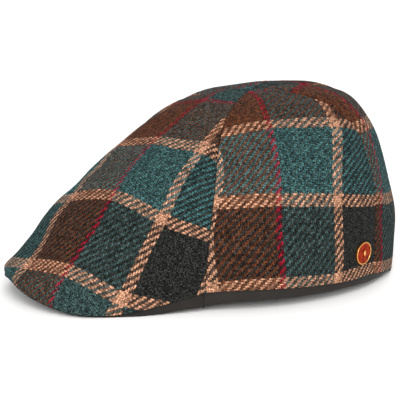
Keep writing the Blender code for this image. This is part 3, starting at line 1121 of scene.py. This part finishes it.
class Wiring:
    """Adds and joins the nodes of one material."""

    def __init__(self, name: str) -> None:
        """Start a material with one Principled shader.

        Args:
            name: Name of what is made.
        """
        self.material = bpy.data.materials.new(name)
        self.material.use_nodes = True
        self.tree = self.material.node_tree
        self.tree.nodes.clear()
        self.shader = self.add("ShaderNodeBsdfPrincipled")
        output = self.add("ShaderNodeOutputMaterial")
        self.tree.links.new(self.shader.outputs["BSDF"], output.inputs["Surface"])

    def add(self, kind: str, **settings: object) -> bpy.types.Node:
        """A new node with its settings.

        Args:
            kind: Type of the node.
            **settings: Its properties, by name.

        Returns:
            The new node.
        """
        node = self.tree.nodes.new(kind)
        for key, value in settings.items():
            setattr(node, key, value)
        return node

    def feed(self, socket: Socket, value: object) -> None:
        """Link a socket, or set its own value.

        Args:
            socket: The socket to fill.
            value: A socket to link, or a plain value.
        """
        if isinstance(value, Socket):
            self.tree.links.new(value, socket)
        else:
            socket.default_value = value

    def math(self, operation: str, *values: Value) -> Socket:
        """Result of a Math node.

        Args:
            operation: Name of the operation.
            *values: Sockets or numbers, in order.

        Returns:
            The node's result.
        """
        node = self.add("ShaderNodeMath", operation=operation)
        for socket, value in zip(node.inputs, values):
            self.feed(socket, value)
        return node.outputs[0]

    def mix(self, share: Value, low: object, high: object, blend: str = "MIX") -> Socket:
        """Result of mixing two colours.

        Args:
            share: Share of the second colour, 0 to 1.
            low: The first colour.
            high: The second colour.
            blend: How the two colours are mixed.

        Returns:
            The mixed colour.
        """
        node = self.add("ShaderNodeMix", data_type="RGBA", blend_type=blend)
        self.feed(node.inputs[0], share)
        self.feed(node.inputs[6], low)
        self.feed(node.inputs[7], high)
        return node.outputs[2]

    def between(self, share: Value, low: Value, high: Value) -> Socket:
        """Result of mixing two numbers.

        Args:
            share: Share of the second number, 0 to 1.
            low: The first number.
            high: The second number.

        Returns:
            The mixed number.
        """
        node = self.add("ShaderNodeMix", data_type="FLOAT")
        self.feed(node.inputs[0], share)
        self.feed(node.inputs[2], low)
        self.feed(node.inputs[3], high)
        return node.outputs[0]

    def noise(self, vector: Socket, scale: float, detail: float = 2.0, rough: float = 0.5) -> Socket:
        """Noise from 0 to 1 on a vector.

        Args:
            vector: The vector.
            scale: Size of the noise, in waves a unit.
            detail: Finer layers of noise.
            rough: Strength of the finer layers.

        Returns:
            The noise.
        """
        node = self.add("ShaderNodeTexNoise")
        self.feed(node.inputs["Vector"], vector)
        self.feed(node.inputs["Scale"], scale)
        self.feed(node.inputs["Detail"], detail)
        self.feed(node.inputs["Roughness"], rough)
        return node.outputs[0]

    def ramp(self, factor: Socket, stops: Sequence[tuple], steps: bool) -> Socket:
        """Colour of a ramp through (place, colour) stops, in steps or smooth.

        Args:
            factor: Where on the ramp to read.
            stops: Places and colours.
            steps: Whether the colours change in steps.

        Returns:
            The colour.
        """
        node = self.add("ShaderNodeValToRGB")
        ramp = node.color_ramp
        ramp.interpolation = "CONSTANT" if steps else "LINEAR"
        while len(ramp.elements) < len(stops):
            ramp.elements.new(1.0)
        for element, (place, _) in zip(ramp.elements, stops):
            element.position = place
        for element, (_, colour) in zip(ramp.elements, stops):
            element.color = colour
        self.feed(node.inputs[0], factor)
        return node.outputs[0]

    def span(self, value: Socket, low: float, high: float, start: float, end: float) -> Socket:
        """A value mapped from one range to another, and kept in it.

        Args:
            value: The value to map.
            low: Low end of its range.
            high: High end of its range.
            start: Result at the low end.
            end: Result at the high end.

        Returns:
            The mapped value.
        """
        node = self.add("ShaderNodeMapRange", clamp=True)
        for socket, number in zip(node.inputs, (value, low, high, start, end)):
            self.feed(socket, number)
        return node.outputs[0]

    def scaled(self, vector: Socket, sizes: tuple[float, float, float]) -> Socket:
        """A vector with each axis scaled.

        Args:
            vector: The vector.
            sizes: Factor of each axis.

        Returns:
            The new vector.
        """
        node = self.add("ShaderNodeMapping")
        self.feed(node.inputs["Vector"], vector)
        self.feed(node.inputs["Scale"], sizes)
        return node.outputs[0]

    def bump(self, height: Socket, distance: float, strength: float = 1.0) -> None:
        """Raise the shader's surface by a height.

        Args:
            height: The height.
            distance: Metres that a height of one stands for.
            strength: Share of the effect, 0 to 1.
        """
        node = self.add("ShaderNodeBump")
        self.feed(node.inputs["Strength"], strength)
        self.feed(node.inputs["Distance"], distance)
        self.feed(node.inputs["Height"], height)
        self.feed(self.shader.inputs["Normal"], node.outputs[0])


def shown(red: int, green: int, blue: int) -> tuple[float, float, float, float]:
    """A colour given as it shows on a screen, 0 to 255, as the shader wants it.

    Args:
        red: Red, 0 to 255.
        green: Green, 0 to 255.
        blue: Blue, 0 to 255.

    Returns:
        Linear red, green and blue, and full opacity.
    """
    def straight(level: float) -> float:
        level /= 255
        return level / 12.92 if level <= 0.04045 else ((level + 0.055) / 1.055)**2.4
    return (straight(red), straight(green), straight(blue), 1.0)


class Yarn(Enum):
    """Colours of the tweed's yarns: the main fibres, and the flecks spun in with them."""

    TEAL = ((59, 82, 80), (29, 34, 35))
    SEA = ((60, 100, 100), (30, 46, 50))
    CREAM = ((182, 134, 107), (130, 94, 74))
    CHARCOAL = ((15, 16, 15), (50, 51, 49))
    RUST = ((93, 43, 16), (56, 50, 43))
    CRIMSON = ((138, 14, 34), (92, 24, 36))


@dataclass(frozen=True)
class Tweed:
    """Plaid wool twill, drawn thread by thread on the cloth's own flat metres."""

    cloth: Cloth = field(default_factory=Cloth)
    sett: tuple[tuple[Yarn, int], ...] = (
        (Yarn.TEAL, 29), (Yarn.CREAM, 6), (Yarn.CHARCOAL, 32), (Yarn.CREAM, 6),
        (Yarn.SEA, 32), (Yarn.CREAM, 6), (Yarn.RUST, 28), (Yarn.CRIMSON, 3),
    )
    relief: float = 0.00035
    sheen: float = 0.01
    blend: float = 0.1

    @property
    def repeat(self) -> int:
        """Threads in one repeat of the plaid."""
        return sum(threads for _, threads in self.sett)

    def _yarn_at(self, wires: Wiring, thread: Socket, part: int) -> Socket:
        """Colour of a numbered thread, of its main fibres or its flecks.

        Args:
            wires: The material's nodes.
            thread: Number of the thread.
            part: Which of the yarn's two colours to read.

        Returns:
            The colour.
        """
        place = wires.math("FRACT", wires.math("DIVIDE", wires.math("ADD", thread, 0.5),
                                               float(self.repeat)))
        stops, start = [], 0
        for yarn, threads in self.sett:
            stops.append((start / self.repeat, shown(*yarn.value[part])))
            start += threads
        return wires.ramp(place, stops, True)

    def make(self) -> bpy.types.Material:
        """The finished material.

        Returns:
            The material, ready for a piece.
        """
        wires = Wiring("plaid_tweed")
        place = wires.add("ShaderNodeUVMap", uv_map="Cloth").outputs[0]
        split = wires.add("ShaderNodeSeparateXYZ")
        wires.feed(split.inputs[0], place)
        across = self._counted(wires, place, split.outputs[0], self.cloth.warp_pitch, 160.0, 2500.0)
        along = self._counted(wires, place, split.outputs[1], self.cloth.weft_pitch, 210.0, 2900.0)
        warp, weft = wires.math("FLOOR", across), wires.math("FLOOR", along)
        in_warp, in_weft = wires.math("FRACT", across), wires.math("FRACT", along)
        step = wires.math("FLOORED_MODULO", wires.math("SUBTRACT", warp, weft), 4.0)
        on_top = wires.math("LESS_THAN", step, 1.5)
        warp_float = wires.math("ADD", wires.math("SUBTRACT", 1.0, step), in_weft)
        weft_float = wires.math("ADD", wires.math("SUBTRACT", step, 2.0), in_warp)
        height = wires.between(on_top, self._thread(wires, in_weft, weft_float),
                               self._thread(wires, in_warp, warp_float))

        fibre = wires.noise(place, 1250.0, 2.0, 0.65)
        streak = wires.between(on_top, wires.noise(wires.scaled(place, (0.3, 1.0, 1.0)), 4200.0),
                               wires.noise(wires.scaled(place, (1.0, 0.3, 1.0)), 4200.0))
        stray = wires.span(fibre, 0.35, 0.65, 0.0, 0.14)
        seen = wires.between(stray, on_top, wires.math("SUBTRACT", 1.0, on_top))
        yarns = [(self._yarn_at(wires, weft, part), self._yarn_at(wires, warp, part))
                 for part in (0, 1)]
        main, fleck = (wires.mix(seen, *pair) for pair in yarns)
        nep = wires.noise(wires.scaled(place, (1.0, 0.8, 1.0)), 1100.0, 2.0, 0.6)
        colour = wires.mix(wires.span(nep, 0.4, 0.62, 0.0, 1.0), main, fleck)
        colour = wires.mix(self.blend, colour, wires.mix(0.5, *yarns[0]), "COLOR")
        crossing = wires.add("ShaderNodeCombineXYZ")
        wires.feed(crossing.inputs[0], warp)
        wires.feed(crossing.inputs[1], weft)
        stitch = wires.add("ShaderNodeTexWhiteNoise", noise_dimensions="2D")
        wires.feed(stitch.inputs["Vector"], crossing.outputs[0])
        mottle = wires.noise(place, 260.0, 2.0)
        # Painted shade: the colour darkens where each thread dives under its neighbours, read from the weave's
        # height; fibre, streak, mottle and stitch then vary the tone at random.
        light = wires.span(height, 0.0, 0.8, 0.36, 0.92)
        for source, low, high in ((fibre, 0.3, 1.9), (streak, 0.7, 1.3), (mottle, 0.82, 1.18),
                                  (stitch.outputs["Value"], 0.42, 1.58)):
            reach = (0.0, 1.0) if source == stitch.outputs["Value"] else (0.3, 0.7)
            light = wires.math("MULTIPLY", light, wires.span(source, *reach, low, high))
        grey = wires.add("ShaderNodeCombineColor")
        for socket in grey.inputs[:3]:
            wires.feed(socket, light)
        colour = wires.mix(1.0, colour, grey.outputs[0], "MULTIPLY")
        wires.feed(wires.shader.inputs["Base Color"], colour)
        wires.feed(wires.shader.inputs["Roughness"], wires.span(fibre, 0.3, 0.7, 0.82, 1.0))
        wires.feed(wires.shader.inputs["Specular IOR Level"], 0.04)
        wires.feed(wires.shader.inputs["Sheen Weight"], self.sheen)
        wires.feed(wires.shader.inputs["Sheen Roughness"], 0.45)
        wires.feed(wires.shader.inputs["Sheen Tint"], (0.85, 0.88, 0.9, 1.0))
        raised = wires.math("ADD", height, wires.math("MULTIPLY", fibre, 0.6))
        raised = wires.math("ADD", raised, wires.math("MULTIPLY", streak, 0.35))
        wires.bump(raised, self.relief, 0.8)
        return wires.material

    @staticmethod
    def _counted(wires: Wiring, place: Socket, metres: Socket, pitch: float, sway: float,
                 hair: float) -> Socket:
        """Threads counted across one direction, with the yarn's sway and its ragged edges.

        Args:
            wires: The material's nodes.
            place: Vector that the noise is read on.
            metres: Cloth metres.
            pitch: Metres from one thread to the next.
            sway: How far a thread wanders, in threads.
            hair: How ragged its edge is, in threads.

        Returns:
            Number of threads, whole at each thread's middle.
        """
        count = wires.math("DIVIDE", metres, pitch)
        for scale, size in ((sway, 0.9), (hair, 0.5)):
            wander = wires.math("SUBTRACT", wires.noise(place, scale, 1.0), 0.5)
            count = wires.math("ADD", count, wires.math("MULTIPLY", wander, size))
        return count

    @staticmethod
    def _thread(wires: Wiring, across: Socket, along: Socket) -> Socket:
        """Height of a rounded thread that dives under at both ends of its two-thread float.

        Args:
            wires: The material's nodes.
            across: Place across the thread.
            along: Place along the thread.

        Returns:
            Height, 0 to 1.
        """
        side = wires.math("SUBTRACT", wires.math("MULTIPLY", across, 2.0), 1.0)
        rounded = wires.math("SUBTRACT", 1.0, wires.math("MULTIPLY", side, side))
        arch = wires.math("SINE", wires.math("MULTIPLY", along, math.pi / 2))
        return wires.math("MULTIPLY", rounded, wires.math("MULTIPLY_ADD", arch, 0.5, 0.5))


@dataclass(frozen=True)
class DarkCloth:
    """Close brown-black cotton with a fine rib and a soft sheen."""

    name: str
    colour: tuple[int, int, int]
    rib: float
    roughness: float
    sheen: float = 0.2

    def make(self) -> bpy.types.Material:
        """The finished material.

        Returns:
            The material, ready for a piece.
        """
        wires = Wiring(self.name)
        place = wires.add("ShaderNodeUVMap", uv_map="Cloth").outputs[0]
        split = wires.add("ShaderNodeSeparateXYZ")
        wires.feed(split.inputs[0], place)
        turn = 2 * math.pi / self.rib
        ribs = wires.math("SINE", wires.math("MULTIPLY", split.outputs[0], turn))
        cross = wires.math("SINE", wires.math("MULTIPLY", split.outputs[1], turn * 0.8))
        weave = wires.math("MULTIPLY_ADD", wires.math("MULTIPLY", ribs, cross), 0.5, 0.5)
        wear = wires.noise(place, 70.0, 3.0)
        lint = wires.noise(place, 1400.0, 2.0)
        # Painted shade: the colour is darker in the weave's hollows, where its bump sinks; wear and lint vary
        # the tone at random.
        light = wires.math("MULTIPLY", wires.span(wear, 0.3, 0.7, 0.85, 1.2),
                           wires.span(lint, 0.3, 0.7, 0.8, 1.2))
        light = wires.math("MULTIPLY", light, wires.span(weave, 0.0, 1.0, 0.8, 1.1))
        grey = wires.add("ShaderNodeCombineColor")
        for socket in grey.inputs[:3]:
            wires.feed(socket, light)
        base = wires.mix(1.0, shown(*self.colour), grey.outputs[0], "MULTIPLY")
        wires.feed(wires.shader.inputs["Base Color"], base)
        wires.feed(wires.shader.inputs["Roughness"],
                   wires.span(weave, 0.0, 1.0, self.roughness + 0.1, self.roughness - 0.05))
        wires.feed(wires.shader.inputs["Sheen Weight"], self.sheen)
        wires.feed(wires.shader.inputs["Sheen Roughness"], 0.4)
        wires.feed(wires.shader.inputs["Specular IOR Level"], 0.25)
        wires.bump(weave, 0.00008, 0.6)
        return wires.material


@dataclass(frozen=True)
class GoldMetal:
    """Warm plated metal with light handling wear."""

    colour: tuple[int, int, int] = (226, 164, 92)

    def make(self) -> bpy.types.Material:
        """The finished material.

        Returns:
            The material, ready for a piece.
        """
        wires = Wiring("badge_gold")
        place = wires.add("ShaderNodeTexCoord").outputs["Object"]
        wear = wires.noise(place, 900.0, 3.0)
        tone = wires.mix(wires.span(wear, 0.35, 0.7, 0.0, 1.0), shown(*self.colour), shown(190, 124, 62))
        wires.feed(wires.shader.inputs["Base Color"], tone)
        wires.feed(wires.shader.inputs["Metallic"], 1.0)
        wires.feed(wires.shader.inputs["Roughness"], wires.span(wear, 0.3, 0.7, 0.22, 0.42))
        wires.bump(wear, 0.00003, 0.4)
        return wires.material


@dataclass(frozen=True)
class Enamel:
    """Glossy orange-red enamel, a little uneven in depth."""

    colour: tuple[int, int, int] = (138, 36, 2)

    def make(self) -> bpy.types.Material:
        """The finished material.

        Returns:
            The material, ready for a piece.
        """
        wires = Wiring("badge_enamel")
        place = wires.add("ShaderNodeTexCoord").outputs["Object"]
        depth = wires.noise(place, 420.0, 2.0)
        tone = wires.mix(wires.span(depth, 0.38, 0.64, 0.0, 1.0), shown(*self.colour), shown(88, 14, 1))
        wires.feed(wires.shader.inputs["Base Color"], tone)
        wires.feed(wires.shader.inputs["Roughness"], wires.span(depth, 0.3, 0.7, 0.3, 0.42))
        wires.feed(wires.shader.inputs["Specular IOR Level"], 0.05)
        wires.bump(depth, 0.00004, 0.3)
        return wires.material


@dataclass
class Studio:
    """Pale floor, soft lights and the camera at the photograph's angle."""

    azimuth: float = 68.0
    elevation: float = 15.0
    distance: float = 1.2
    aside: float = 0.02814
    raised: float = 0.04844
    lens: float = 161.2
    form: CapForm = field(default_factory=CapForm)

    @staticmethod
    def _towards(azimuth: float, elevation: float) -> Vector:
        """Unit vector from the cap towards a view's direction.

        Args:
            azimuth: Degrees round the cap, from the camera.
            elevation: Degrees above the surface.

        Returns:
            The vector.
        """
        turn, tilt = math.radians(azimuth), math.radians(elevation)
        return Vector((math.sin(turn) * math.cos(tilt), -math.cos(turn) * math.cos(tilt),
                       math.sin(tilt)))

    def camera(self) -> None:
        """Add the camera and make it the scene's."""
        back = self._towards(self.azimuth, self.elevation)
        turn = math.radians(self.azimuth)
        right = Vector((math.cos(turn), math.sin(turn), 0.0))
        up = back.cross(right)
        data = bpy.data.cameras.new("view")
        data.lens = self.lens
        data.sensor_width = 36.0
        data.clip_start, data.clip_end = 0.05, 20.0
        made = bpy.data.objects.new("view", data)
        made.rotation_mode = "QUATERNION"
        made.rotation_quaternion = (-back).to_track_quat("-Z", "Y")
        made.location = (Vector((0, self.form.oval_centre, 0)) + back * self.distance
                         - right * self.aside + up * self.raised)
        bpy.context.scene.collection.objects.link(made)
        bpy.context.scene.camera = made

    def floor(self) -> None:
        """Add the pale floor."""
        wires = Wiring("studio_floor")
        place = wires.add("ShaderNodeTexCoord").outputs["Object"]
        grain = wires.noise(place, 30.0, 2.0)
        tone = wires.mix(wires.span(grain, 0.3, 0.7, 0.0, 1.0), (0.955, 0.955, 0.955, 1), (0.97, 0.97, 0.97, 1))
        wires.feed(wires.shader.inputs["Base Color"], tone)
        wires.feed(wires.shader.inputs["Roughness"], 0.9)
        bpy.ops.object.select_all(action="DESELECT")
        bpy.ops.mesh.primitive_plane_add(size=12.0)
        made = bpy.context.active_object
        made.name = "studio_floor"
        made.data.materials.append(wires.material)

    def _lamp(self, name: str, azimuth: float, elevation: float, away: float, size: float,
              power: float, tint: tuple[float, float, float]) -> None:
        """Add a soft square light aimed at the cap.

        Args:
            name: Name of what is made.
            azimuth: Degrees round the cap, from the camera.
            elevation: Degrees above the surface.
            away: Metres from the cap.
            size: Side of the square, in metres.
            power: Watts.
            tint: Colour of the light.
        """
        data = bpy.data.lights.new(name, "AREA")
        data.shape = "SQUARE"
        data.size = size
        data.energy = power
        data.color = tint
        way = self._towards(azimuth, elevation)
        made = bpy.data.objects.new(name, data)
        made.rotation_mode = "QUATERNION"
        made.rotation_quaternion = (-way).to_track_quat("-Z", "Y")
        made.location = Vector((0, 0, 0.05)) + way * away
        bpy.context.scene.collection.objects.link(made)

    def lights(self) -> None:
        """Add the lights and the even surround."""
        self._lamp("key_light", 74.0, 30.0, 1.6, 0.9, 29.0, (1.0, 0.99, 0.97))
        self._lamp("fill_light", 345.0, 20.0, 2.0, 1.5, 4.0, (1.0, 1.0, 1.0))
        self._lamp("back_light", 235.0, 35.0, 1.8, 1.2, 9.0, (0.97, 0.98, 1.0))
        world = bpy.data.worlds.new("surround")
        world.use_nodes = True
        nodes, links = world.node_tree.nodes, world.node_tree.links
        way = nodes.new("ShaderNodeTexCoord")
        split = nodes.new("ShaderNodeSeparateXYZ")
        fall = nodes.new("ShaderNodeMapRange")
        for socket, number in zip(fall.inputs[1:], (0.0, 0.9, 1.3, 0.5)):
            socket.default_value = number
        links.new(way.outputs["Generated"], split.inputs[0])
        links.new(split.outputs["Z"], fall.inputs[0])
        links.new(fall.outputs[0], nodes["Background"].inputs["Strength"])
        nodes["Background"].inputs["Color"].default_value = (1.0, 1.0, 1.0, 1.0)
        bpy.context.scene.world = world
        bpy.context.scene.view_settings.view_transform = "Standard"

    def build(self) -> None:
        """Add the floor, the lights and the camera."""
        self.floor()
        self.lights()
        self.camera()


def side_seam(share: np.ndarray) -> np.ndarray:
    """Left seam between the front panel and the side panel."""
    return along_seam(SIDE_SEAM, share)


def back_seam(share: np.ndarray) -> np.ndarray:
    """Left seam between the side panel and the back panel."""
    return along_seam(BACK_SEAM, share)


def centre_back(share: np.ndarray) -> np.ndarray:
    """Seam straight down the back."""
    return np.full_like(np.asarray(share, float), 180.0)


def mirrored(seam: Callable[[np.ndarray], np.ndarray]) -> Callable[[np.ndarray], np.ndarray]:
    """The same seam on the right."""
    return lambda share: -seam(share)


def turned_over(marks: Sequence[tuple], middle: float) -> list[tuple]:
    """Marks of a left panel for its right twin, cut from the cloth the same way up."""
    return [(-angle, share, None if warp is None else 2 * middle - warp, weft)
            for angle, share, warp, weft in marks]


def main() -> None:
    """Build the cap's pieces and the studio round them."""
    logging.basicConfig(level=logging.INFO, format="%(name)s: %(message)s")
    tweed = Tweed().make()
    facing = DarkCloth("peak_facing", (28, 25, 23), 0.0009, 0.8, 0.02).make()
    ribbon = DarkCloth("band_ribbon", (28, 24, 21), 0.0007, 0.6, 0.03).make()
    gold, enamel = GoldMetal().make(), Enamel().make()
    panels = (
        Panel("front_cloth", "front_panel", mirrored(side_seam), side_seam, FRONT_MARKS, 150),
        Panel("side_cloth_left", "side_panel_left", side_seam, back_seam, SIDE_MARKS, 110),
        Panel("side_cloth_right", "side_panel_right", mirrored(back_seam), mirrored(side_seam),
              turned_over(SIDE_MARKS, SIDE_MIDDLE), 110),
        Panel("back_cloth_left", "back_panel_left", back_seam, centre_back, BACK_MARKS, 64),
        Panel("back_cloth_right", "back_panel_right", mirrored(centre_back), mirrored(back_seam),
              turned_over(BACK_MARKS, BACK_MIDDLE), 64),
    )
    for panel in panels:
        panel.build(tweed)
    StiffPeak().build(facing)
    InnerBand().build(ribbon)
    Badge().build(gold, enamel)
    Studio().build()
    LOG.info("studio: floor, lights and camera")
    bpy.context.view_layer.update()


if __name__ == "__main__":
    main()
